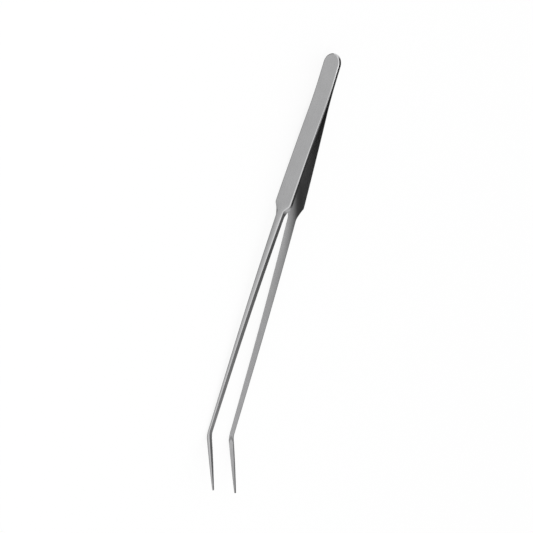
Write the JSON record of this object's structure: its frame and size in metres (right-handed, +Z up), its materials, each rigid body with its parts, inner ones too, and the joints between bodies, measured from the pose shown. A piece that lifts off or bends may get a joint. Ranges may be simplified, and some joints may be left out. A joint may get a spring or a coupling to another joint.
{
  "type": "curved tweezers",
  "caption": "Long slim steel tweezers: flat handle plates welded at a rounded end, tapering shanks and fine toothed tips bent to one side.",
  "frame": {"origin": "middle of the footprint, on the surface that the tweezers lie on", "axes": "+X from the rounded end towards the tips, +Z up, which is the side that both tips are bent to as the pair lies on the edges of its arms, +Y from the right arm to the left arm"},
  "size_m": [0.267, 0.0238, 0.0157],
  "materials": {
    "left_arm": "satin, brushed along the arm",
    "right_arm": "satin, brushed along the arm"
  },
  "bodies": {
    "root": {"left_arm": "left_arm", "right_arm": "right_arm"}
  },
  "joints": []
}
